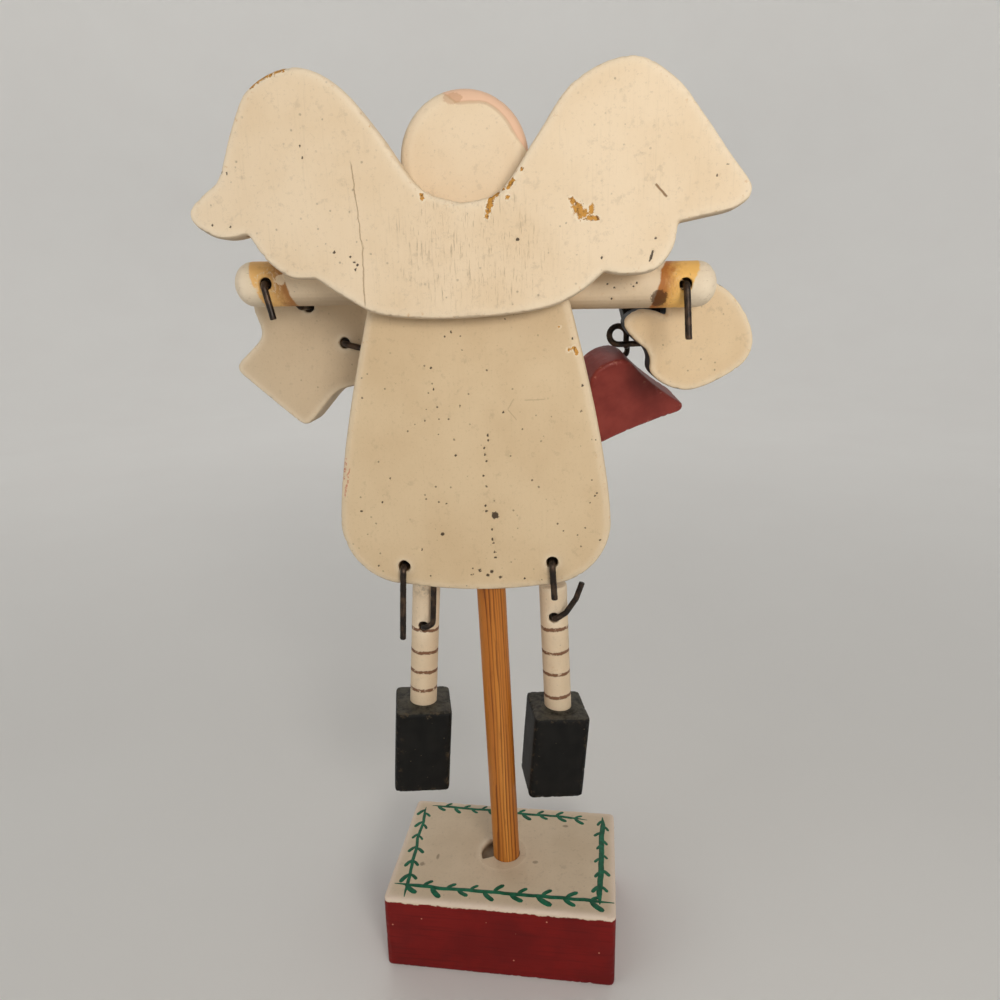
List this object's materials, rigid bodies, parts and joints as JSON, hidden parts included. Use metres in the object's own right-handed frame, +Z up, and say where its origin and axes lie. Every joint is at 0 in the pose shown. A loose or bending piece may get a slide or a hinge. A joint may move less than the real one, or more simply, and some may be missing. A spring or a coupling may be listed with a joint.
{
  "type": "wooden angel ornament",
  "caption": "Painted wooden angel on a dowel stand, with wings, dangling block-footed legs and small cut-out ornaments hung on bent wire.",
  "frame": {"origin": "centre of the base block's underside", "axes": "+Z up, +Y out of the angel's back, +X to the angel's left"},
  "size_m": [0.1118, 0.0569, 0.188],
  "materials": {
    "base_paint": "satin paint over wood, pale painted top",
    "post_wood": "bare oiled pine dowel",
    "dress_paint": "cream satin paint over wood",
    "wing_paint": "cream satin paint over wood",
    "head_paint": "cream satin paint with a flesh-coloured rim",
    "arm_paint": "cream paint with worn gold cuffs",
    "leg_paint": "cream paint with thin brown stripes",
    "foot_paint": "black satin paint over wood",
    "star_paint": "cream satin paint over wood",
    "mitten_paint": "cream satin paint with dark edges",
    "boot_paint": "black satin paint over wood",
    "bell_paint": "dark red satin paint over wood",
    "wire_steel": "dark annealed wire"
  },
  "bodies": {
    "base": {"base_block": "base_paint"},
    "figure": {"post_dowel": "post_wood", "dress_panel": "dress_paint", "wing_panel": "wing_paint", "head_disc": "head_paint", "arm_left": "arm_paint", "arm_right": "arm_paint", "star_charm": "star_paint", "star_wire": "wire_steel", "ornament_wire": "wire_steel", "boot_charm": "boot_paint"},
    "link_left": {"leg_wire_left": "wire_steel"},
    "left_leg": {"leg_left": "leg_paint", "foot_left": "foot_paint"},
    "link_right": {"leg_wire_right": "wire_steel"},
    "right_leg": {"leg_right": "leg_paint", "foot_right": "foot_paint"},
    "mitten": {"mitten_charm": "mitten_paint"},
    "bell": {"bell_charm": "bell_paint"}
  },
  "joints": [
    {"name": "post_swivel", "type": "hinge", "parent": "base", "child": "figure", "pos_m": [0, 0, 0.019], "axis": [0.0322, 0.0023, 0.9995], "continuous": true},
    {"name": "left_link_swing", "type": "hinge", "parent": "figure", "child": "link_left", "pos_m": [0.01929, 0.00135, 0.0967], "axis": [-0.0698, 0.9976, 0], "range_deg": [-25, 2]},
    {"name": "left_leg_swing", "type": "hinge", "parent": "link_left", "child": "left_leg", "pos_m": [0.01834, -0.00373, 0.0779], "axis": [-0.0698, 0.9976, 0], "range_deg": [-25, 5]},
    {"name": "right_link_swing", "type": "hinge", "parent": "figure", "child": "link_right", "pos_m": [-0.01104, -0.00077, 0.0977], "axis": [-0.0698, 0.9976, 0], "range_deg": [-1, 25]},
    {"name": "right_leg_swing", "type": "hinge", "parent": "link_right", "child": "right_leg", "pos_m": [-0.01119, -0.00579, 0.0803], "axis": [-0.0698, 0.9976, 0], "range_deg": [-1, 25]},
    {"name": "mitten_swing", "type": "hinge", "parent": "figure", "child": "mitten", "pos_m": [-0.03933, -0.01478, 0.1522], "axis": [-0.0698, 0.9976, 0], "range_deg": [-15, 15]},
    {"name": "bell_swing", "type": "hinge", "parent": "figure", "child": "bell", "pos_m": [-0.02662, -0.02161, 0.1313], "axis": [-0.3388, 0.8827, -0.3256], "range_deg": [-15, 15]}
  ]
}
